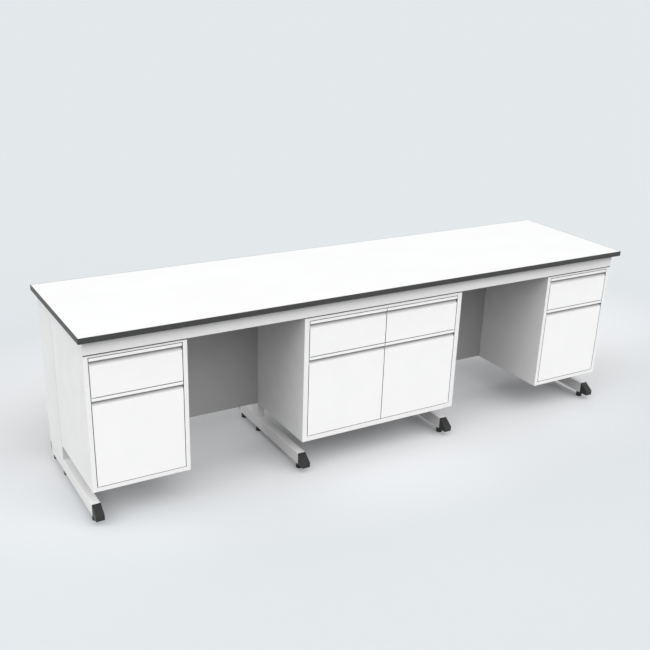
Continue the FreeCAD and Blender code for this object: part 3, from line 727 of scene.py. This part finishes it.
# ------------------------------------------------------------------ drawer trays
# Folded from 1.2 mm steel sheet and coated in pale grey powder, with a hem turned inwards
# round the rim. Four pan-head screws through the tray's end hold the wooden front, and a
# channel of the runner is fixed along each side.
BAYS = ("left", "centre_left", "centre_right", "right")
TRAY_TONE = 0.66
TRAY_SHEET = 0.0012
SIDE_CHANNEL = 0.0111
HEM_WIDTH = 0.0042
HEM_DROP = 0.0060
HEM_EASING = 0.0006
PAN_HEAD = 0.0045
PAN_CROWN_SHARE = 0.62
PAN_HEIGHT = 0.0020
PAN_RECESS = 0.0022
PAN_INSET = 0.060
PAN_LEVELS = (0.030, 0.080)

tray_powder = powder_coat("tray_powder", TRAY_TONE)


def pan_head(mesh):
    bmesh.ops.create_cone(mesh, cap_ends=True, segments=16, radius1=PAN_HEAD,
                          radius2=PAN_HEAD * PAN_CROWN_SHARE, depth=PAN_HEIGHT,
                          matrix=Matrix.Translation((0.0, 0.0, PAN_HEIGHT / 2)))


head_shape = small_shape("pan_head", pan_head)
for bay in BAYS:
    body = "drawer_" + bay + "_body"
    tray = "drawer_" + bay + "_box"
    coat(tray_powder, tray)
    low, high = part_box(tray)
    bottom, rim = low[2], high[2]
    hem_low = rim - HEM_DROP
    left, right = low[0] + SIDE_CHANNEL + TRAY_SHEET, high[0] - SIDE_CHANNEL - TRAY_SHEET
    front, back = low[1] + TRAY_SHEET, high[1] - TRAY_SHEET
    boxes("drawer_" + bay + "_hem", tray_powder, [
        ((left, front, hem_low), (left + HEM_WIDTH, back, rim)),
        ((right - HEM_WIDTH, front, hem_low), (right, back, rim)),
        ((left + HEM_WIDTH, front, hem_low), (right - HEM_WIDTH, front + HEM_WIDTH, rim)),
        ((left + HEM_WIDTH, back - HEM_WIDTH, hem_low), (right - HEM_WIDTH, back, rim))],
        body, HEM_EASING)
    spots = [(Vector((x, front, bottom + pan_level)), (0.0, 1.0, 0.0))
             for x in (left + PAN_INSET, right - PAN_INSET) for pan_level in PAN_LEVELS]
    spot_pattern.lay("drawer_" + bay + "_front_screws", spots_plan("pan_plan", spots),
                     head_shape, body, "screw_zinc", zinc, Turn=0.0, Seed=1)
    recesses("drawer_" + bay + "_screw_recesses", PAN_RECESS,
             [(spot + Vector((0.0, PAN_HEIGHT, 0.0)), way) for spot, way in spots], body,
             seed=3)
bpy.data.objects.remove(head_shape)


# ------------------------------------------------------------------ drawer fronts and doors
# Each is an 18 mm board in satin white lacquer, with a finger groove routed under a lip along
# the top. Its narrow sides and its groove are painted grey, darkest deepest in, as painted
# shade in the gaps beside it and under the lip.
FRONT_EASING = 0.0005
GROOVE_DEPTH = 0.0100
GROOVE_START = 0.0020
GROOVE_DROP = 0.0400
LACQUER_TONE = 0.94
LACQUER_HAZE_TONE = 0.925
KNOCKED_TONE = 0.70
PAINTED_SHADE_TONE = 0.22
SHADE_AT_FACE = 0.30
SHADE_GAIN = 0.65
GROOVE_SHADE = 1.0
EDGE_SHADE = 3.0
FACE_SLACK = 0.00001
STRAIGHT_BACK = 0.98
FLOW_DEPTH = 0.00002

lacquer = Finish("white_lacquer")
flow = lacquer.noise(scale=350.0, detail=1.0)
haze = lacquer.noise(scale=6.0, detail=3.0).spread(0.3, 0.7)
# Painted shade: grey that deepens inwards from the face, on the groove and the narrow sides.
shade_by_depth = (lacquer.place("Y") - FRONT_PLANE) * (SHADE_GAIN / GROOVE_DEPTH) + SHADE_AT_FACE
groove_and_edge_shade = (lacquer.mark("painted_shade") * shade_by_depth).below(1.0)
knocked = lacquer.mark("arris") * lacquer.noise(scale=30.0, detail=5.0).spread(0.60, 0.66)
satin = lacquer.mix(haze, grey(LACQUER_TONE), grey(LACQUER_HAZE_TONE))
handled = lacquer.mix(knocked * 0.5, satin, grey(KNOCKED_TONE))
lacquer.surface(colour=lacquer.mix(groove_and_edge_shade, handled, grey(PAINTED_SHADE_TONE)),
                roughness=haze * 0.10 + 0.30 + groove_and_edge_shade * 0.15, height=flow, depth=FLOW_DEPTH)
for bay in BAYS:
    for piece in finished(lacquer, FRONT_EASING, "drawer_" + bay + "_front", "door_" + bay):
        # Marks the groove and the narrow sides, which lie behind the face of the board, for painted
        # shade.
        painted_shade = piece.data.attributes.new("painted_shade", "FLOAT", "FACE")
        top = max(vertex.co.z for vertex in piece.data.vertices)
        for face, mark in zip(piece.data.polygons, painted_shade.data):
            if face.normal.y < STRAIGHT_BACK and face.center.y > FRONT_PLANE + FACE_SLACK:
                in_groove = (abs(face.normal.x) < FACING
                             and GROOVE_START < top - face.center.z < GROOVE_DROP)
                mark.value = GROOVE_SHADE if in_groove else EDGE_SHADE


# ------------------------------------------------------------------ worktop
# A dense dark board, faced with matt white laminate and edged on all four sides with a
# charcoal band whose arrises are rounded over. Screws hold it down to the rails from below.
BAND_EASING = 0.0006
WORKTOP_RECESS = 0.0033
CORE_PALE = (0.16, 0.135, 0.11, 1.0)
CORE_DARK = (0.10, 0.085, 0.07, 1.0)
CORE_DEPTH = 0.0001
LAMINATE_TONE = 0.725
LAMINATE_HAZE_TONE = 0.71
LAMINATE_DEPTH = 0.00002
CHARCOAL_TONE = 0.032
CHARCOAL_TOUCHED_TONE = 0.038
CHARCOAL_BRUISED_TONE = 0.075
CHARCOAL_DEPTH = 0.00003

core_board = Finish("dark_core_board")
chips = core_board.noise(scale=420.0, detail=4.0)
core_board.surface(colour=core_board.mix(chips.spread(0.35, 0.65), CORE_DARK, CORE_PALE),
                   roughness=chips * 0.2 + 0.7, height=chips, depth=CORE_DEPTH)
coat(core_board, "worktop_core")

laminate = Finish("white_laminate")
fine_pebble = laminate.noise(scale=1600.0, detail=2.0)
wiped = laminate.noise(scale=4.0, detail=4.0, stretch=(0.5, 1.0, 1.0)).spread(0.3, 0.7)
laminate.surface(colour=laminate.mix(wiped, grey(LAMINATE_TONE), grey(LAMINATE_HAZE_TONE)),
                 roughness=wiped * 0.12 + 0.46, height=fine_pebble, depth=LAMINATE_DEPTH)
coat(laminate, "worktop_surface")

charcoal = Finish("charcoal_band")
speck = charcoal.noise(scale=1200.0, detail=2.0)
touched = charcoal.noise(scale=30.0, detail=4.0).spread(0.4, 0.7)
bruised = charcoal.mark("arris") * charcoal.noise(scale=25.0, detail=5.0).spread(0.45, 0.65)
handled_band = charcoal.mix(touched, grey(CHARCOAL_TONE), grey(CHARCOAL_TOUCHED_TONE))
charcoal.surface(colour=charcoal.mix(bruised, handled_band, grey(CHARCOAL_BRUISED_TONE)),
                 roughness=touched * 0.10 + 0.45, height=speck, depth=CHARCOAL_DEPTH)
finished(charcoal, BAND_EASING, "edge_band")
recesses("worktop_screw_recesses", WORKTOP_RECESS, head_spots("worktop_screws", 2), "bench",
         seed=5)


# ------------------------------------------------------------------ camera
# The camera stands to the left of the bench, a little over two metres up, and looks down
# along it through a lens of normal length.
CAMERA_PLACE = Vector((-2.38639, -3.75987, 2.26536))
CAMERA_TURN = math.radians(30.8211)
CAMERA_DROP = math.radians(23.0991)
CAMERA_ROLL = math.radians(1.8938)
CAMERA_LENS = 51.036
CAMERA_SENSOR = 36.0
CAMERA_SHIFT = (0.001685, 0.058927)
CAMERA_REACH = 1000.0

ahead = Vector((math.sin(CAMERA_TURN) * math.cos(CAMERA_DROP),
                math.cos(CAMERA_TURN) * math.cos(CAMERA_DROP), -math.sin(CAMERA_DROP)))
sideways = Vector((math.cos(CAMERA_TURN), -math.sin(CAMERA_TURN), 0.0))
upright = sideways.cross(ahead)
across = sideways * math.cos(CAMERA_ROLL) + upright * math.sin(CAMERA_ROLL)
camera_up = upright * math.cos(CAMERA_ROLL) - sideways * math.sin(CAMERA_ROLL)
camera_data = bpy.data.cameras.new("camera")
camera_data.lens = CAMERA_LENS
camera_data.sensor_width = CAMERA_SENSOR
camera_data.shift_x, camera_data.shift_y = CAMERA_SHIFT
camera_data.clip_end = CAMERA_REACH
camera = bpy.data.objects.new("camera", camera_data)
camera.matrix_world = Matrix.Translation(CAMERA_PLACE) @ Matrix(
    (across, camera_up, -ahead)).transposed().to_4x4()
scene.collection.objects.link(camera)
scene.camera = camera
